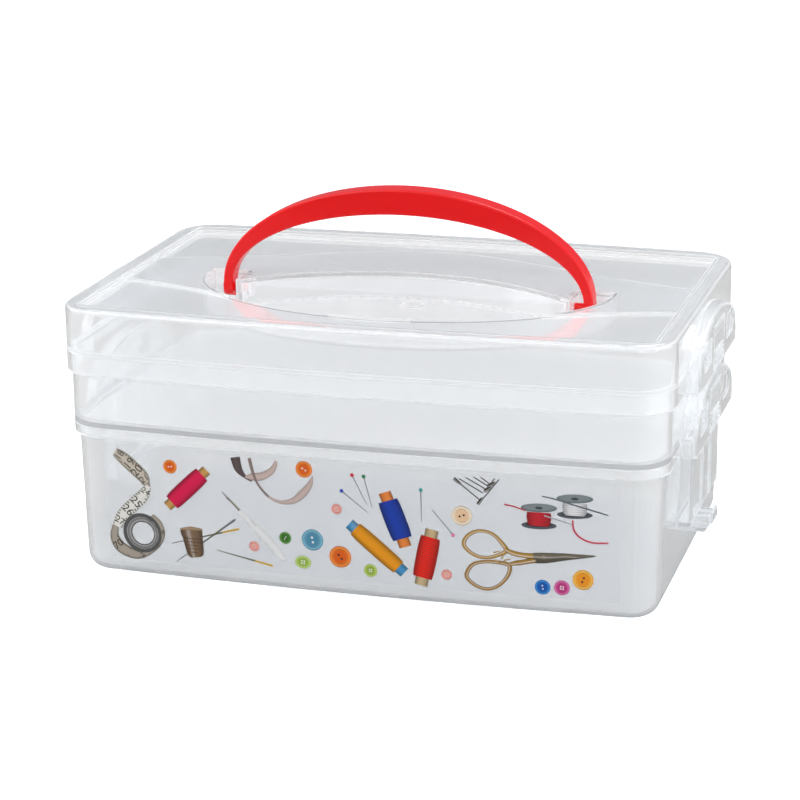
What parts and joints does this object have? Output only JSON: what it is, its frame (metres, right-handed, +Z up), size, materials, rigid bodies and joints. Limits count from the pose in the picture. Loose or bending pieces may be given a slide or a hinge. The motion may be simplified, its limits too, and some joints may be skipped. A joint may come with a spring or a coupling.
{
  "type": "stackable sewing box",
  "caption": "Clear stackable sewing box: deep printed base, shallow middle tray and lid with a folding red carry handle and snap catches on the ends",
  "frame": {"origin": "centre of the underside of the base", "axes": "+X along the long side to the right as seen from the printed front, +Y from the printed front to the back, +Z up"},
  "size_m": [0.304, 0.19, 0.1758],
  "materials": {
    "clear_plastic": "translucent natural polypropylene, smooth gloss outside, slightly milky",
    "handle_plastic": "opaque glossy red polypropylene",
    "printed_film": "thin clear film with coloured print"
  },
  "bodies": {
    "base": {"base_box": "clear_plastic", "front_print_film": "printed_film"},
    "tray": {"middle_tray": "clear_plastic"},
    "lid": {"lid": "clear_plastic"},
    "handle": {"carry_handle": "handle_plastic"},
    "lid_clip_left": {"lid_clip_left": "clear_plastic"},
    "lid_clip_right": {"lid_clip_right": "clear_plastic"},
    "tray_clip_left": {"tray_clip_left": "clear_plastic"},
    "tray_clip_right": {"tray_clip_right": "clear_plastic"}
  },
  "joints": [
    {"name": "tray_lift", "type": "slide", "parent": "base", "child": "tray", "axis": [0, 0, 1], "range_m": [0, 0.045]},
    {"name": "lid_lift", "type": "slide", "parent": "tray", "child": "lid", "axis": [0, 0, 1], "range_m": [0, 0.045]},
    {"name": "handle_fold", "type": "hinge", "parent": "lid", "child": "handle", "pos_m": [0, 0, 0.1223], "axis": [1, 0, 0], "range_deg": [-12, 90]},
    {"name": "lid_clip_left_swing", "type": "hinge", "parent": "lid", "child": "lid_clip_left", "pos_m": [-0.1496, 0, 0.1183], "axis": [0, 1, 0], "range_deg": [0, 83]},
    {"name": "lid_clip_right_swing", "type": "hinge", "parent": "lid", "child": "lid_clip_right", "pos_m": [0.1496, 0, 0.1183], "axis": [0, -1, 0], "range_deg": [0, 83]},
    {"name": "tray_clip_left_swing", "type": "hinge", "parent": "tray", "child": "tray_clip_left", "pos_m": [-0.1486, 0, 0.088], "axis": [0, 1, 0], "range_deg": [0, 83]},
    {"name": "tray_clip_right_swing", "type": "hinge", "parent": "tray", "child": "tray_clip_right", "pos_m": [0.1486, 0, 0.088], "axis": [0, -1, 0], "range_deg": [0, 83]}
  ],
  "couplings": [
    {"joint": "lid_clip_left_swing", "follows": "lid_lift", "rad_per_m": 32},
    {"joint": "lid_clip_right_swing", "follows": "lid_lift", "rad_per_m": 32},
    {"joint": "tray_clip_left_swing", "follows": "tray_lift", "rad_per_m": 32},
    {"joint": "tray_clip_right_swing", "follows": "tray_lift", "rad_per_m": 32}
  ]
}
